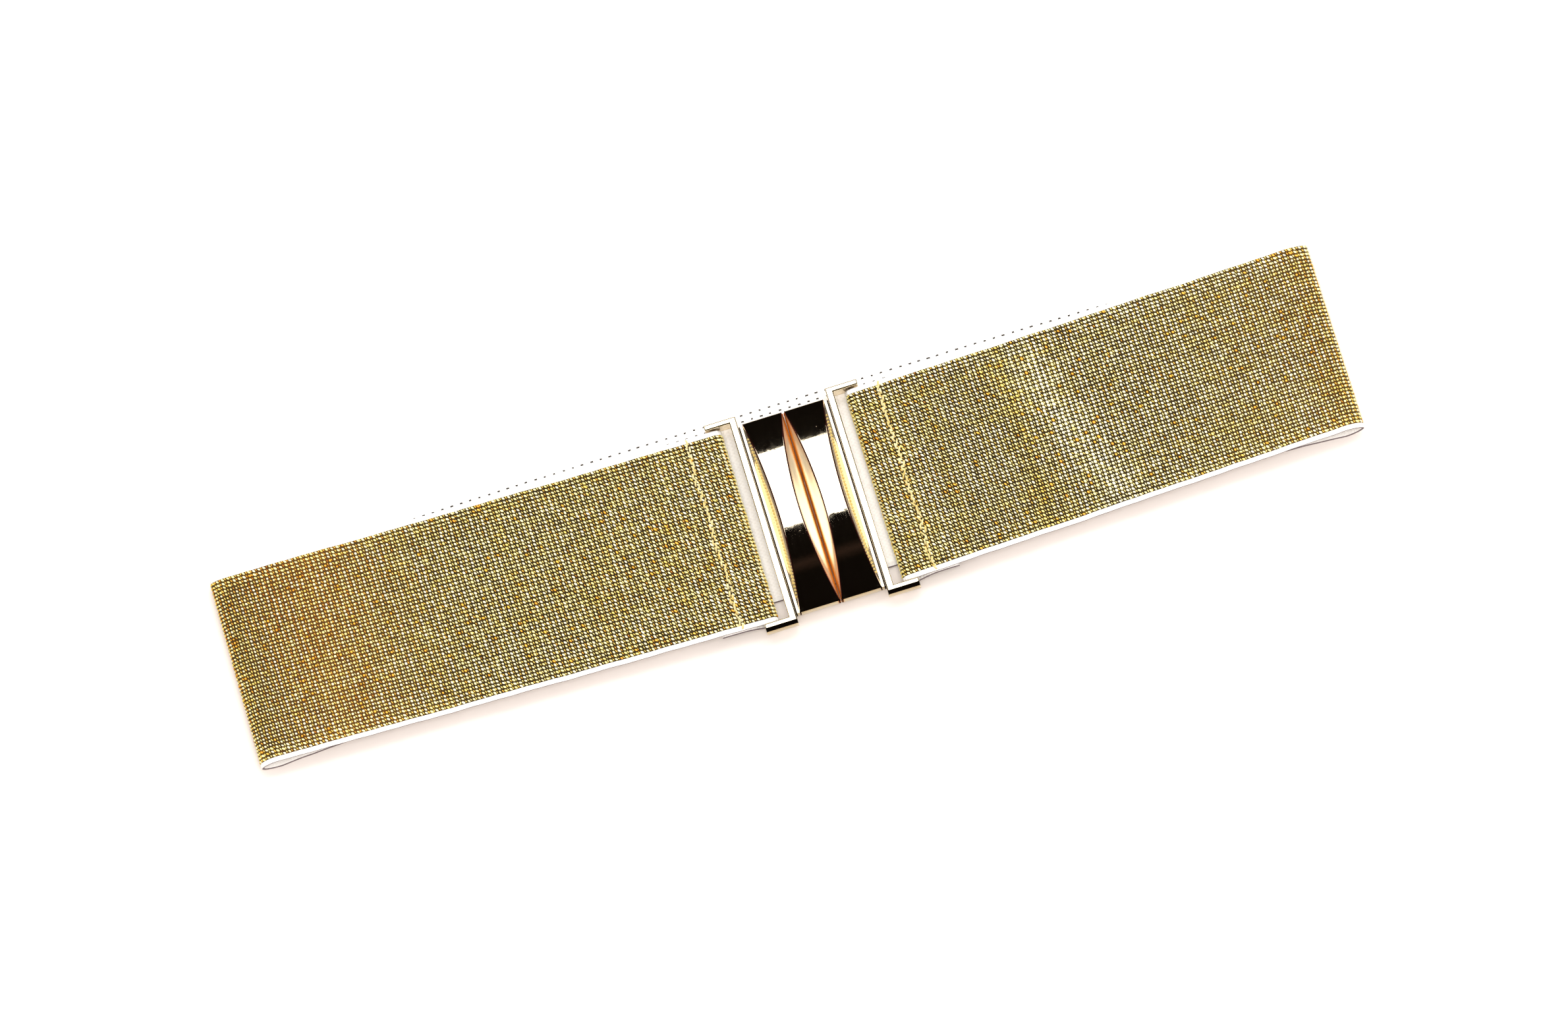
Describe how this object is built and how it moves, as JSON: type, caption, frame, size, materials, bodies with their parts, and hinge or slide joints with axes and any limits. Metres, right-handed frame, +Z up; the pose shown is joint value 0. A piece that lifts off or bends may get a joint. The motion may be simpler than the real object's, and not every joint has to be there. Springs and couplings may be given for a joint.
{
  "type": "elastic stretch belt",
  "caption": "Flat loop of gold woven elastic with a polished interlocking front clasp of hourglass plates in open frames, lying closed.",
  "frame": {"origin": "on the table under the middle of the belt's box", "axes": "+X along the belt, +Y across it towards the upper edge, +Z up from the table"},
  "size_m": [0.3406, 0.0694, 0.0091],
  "materials": {
    "gold_weave": "woven metallic thread on a white elastic ground",
    "polished_gold": "polished light gold plating",
    "hook_steel": "plain"
  },
  "bodies": {
    "root": {"elastic_band": "gold_weave", "clasp_half_left": "polished_gold", "clasp_half_right": "polished_gold", "clasp_hook": "hook_steel"}
  },
  "joints": []
}
